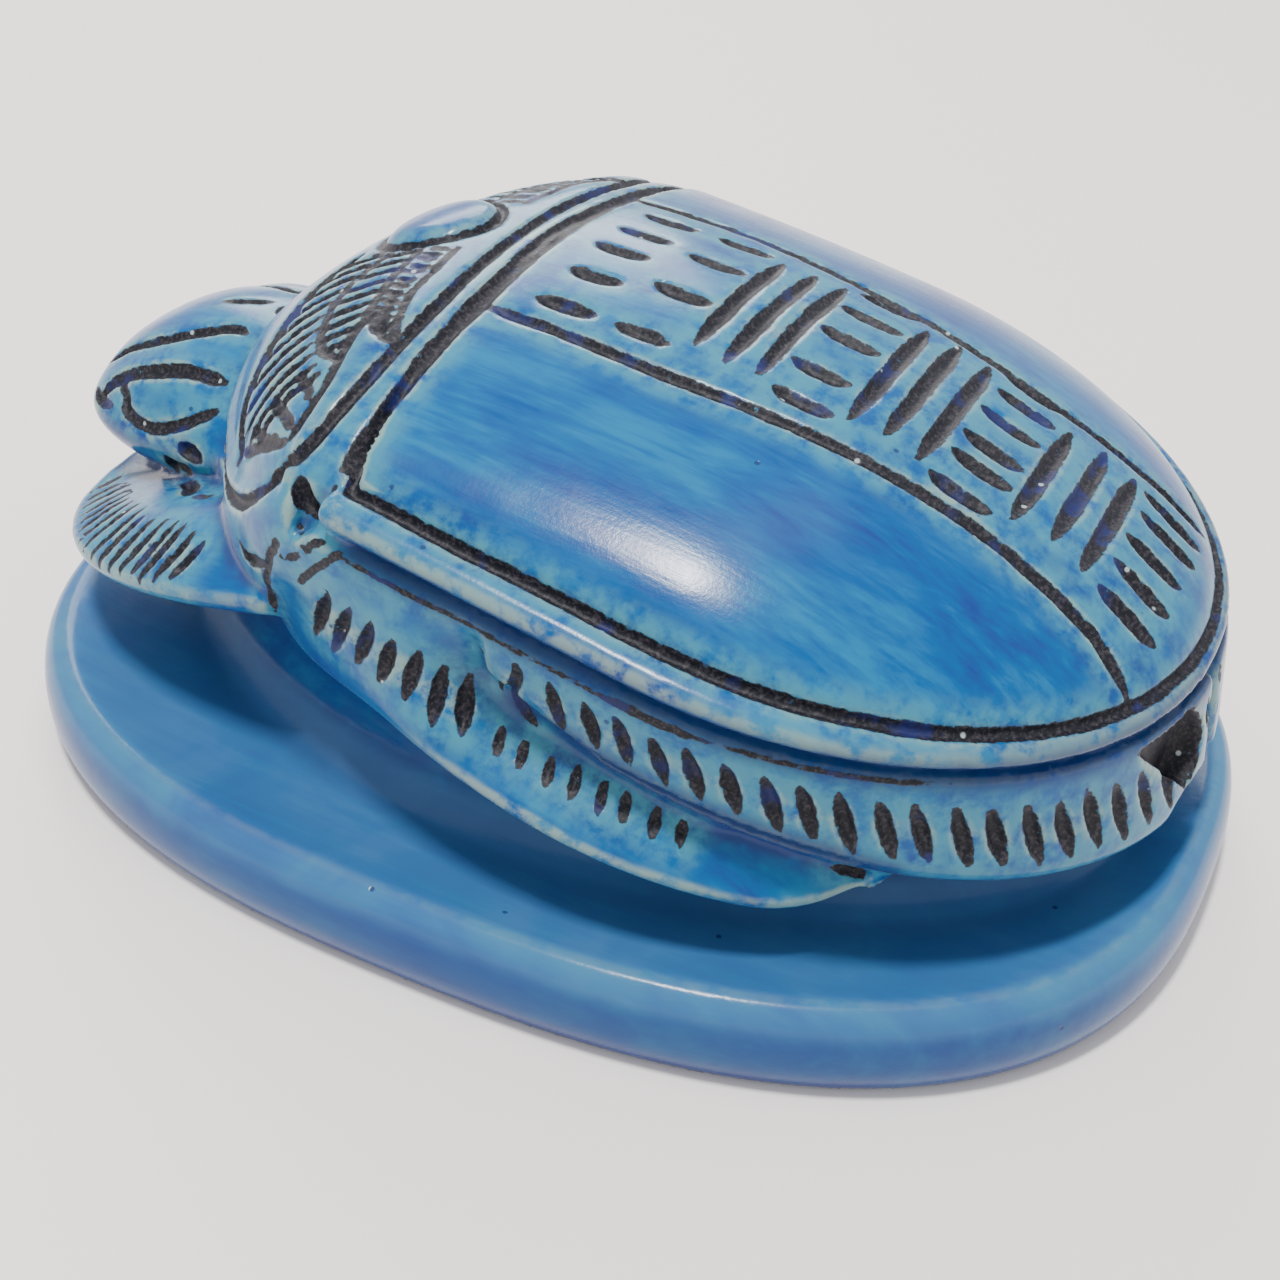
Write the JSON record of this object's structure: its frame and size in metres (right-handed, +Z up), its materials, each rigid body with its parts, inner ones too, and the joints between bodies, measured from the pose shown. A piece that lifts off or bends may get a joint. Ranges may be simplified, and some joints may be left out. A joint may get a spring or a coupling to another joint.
{
  "type": "glazed scarab figure",
  "caption": "Domed scarab beetle on an oval base, moulded in one piece, with a winged disc, notched legs folded along its sides and a flat underside it rests on.",
  "frame": {"origin": "middle of the flat underside", "axes": "+Z up, +Y towards the tail, so the head points to -Y"},
  "size_m": [0.0756, 0.1, 0.0421],
  "materials": {
    "turquoise_glaze": "satin gloss"
  },
  "bodies": {
    "root": {"scarab": "turquoise_glaze"}
  },
  "joints": []
}
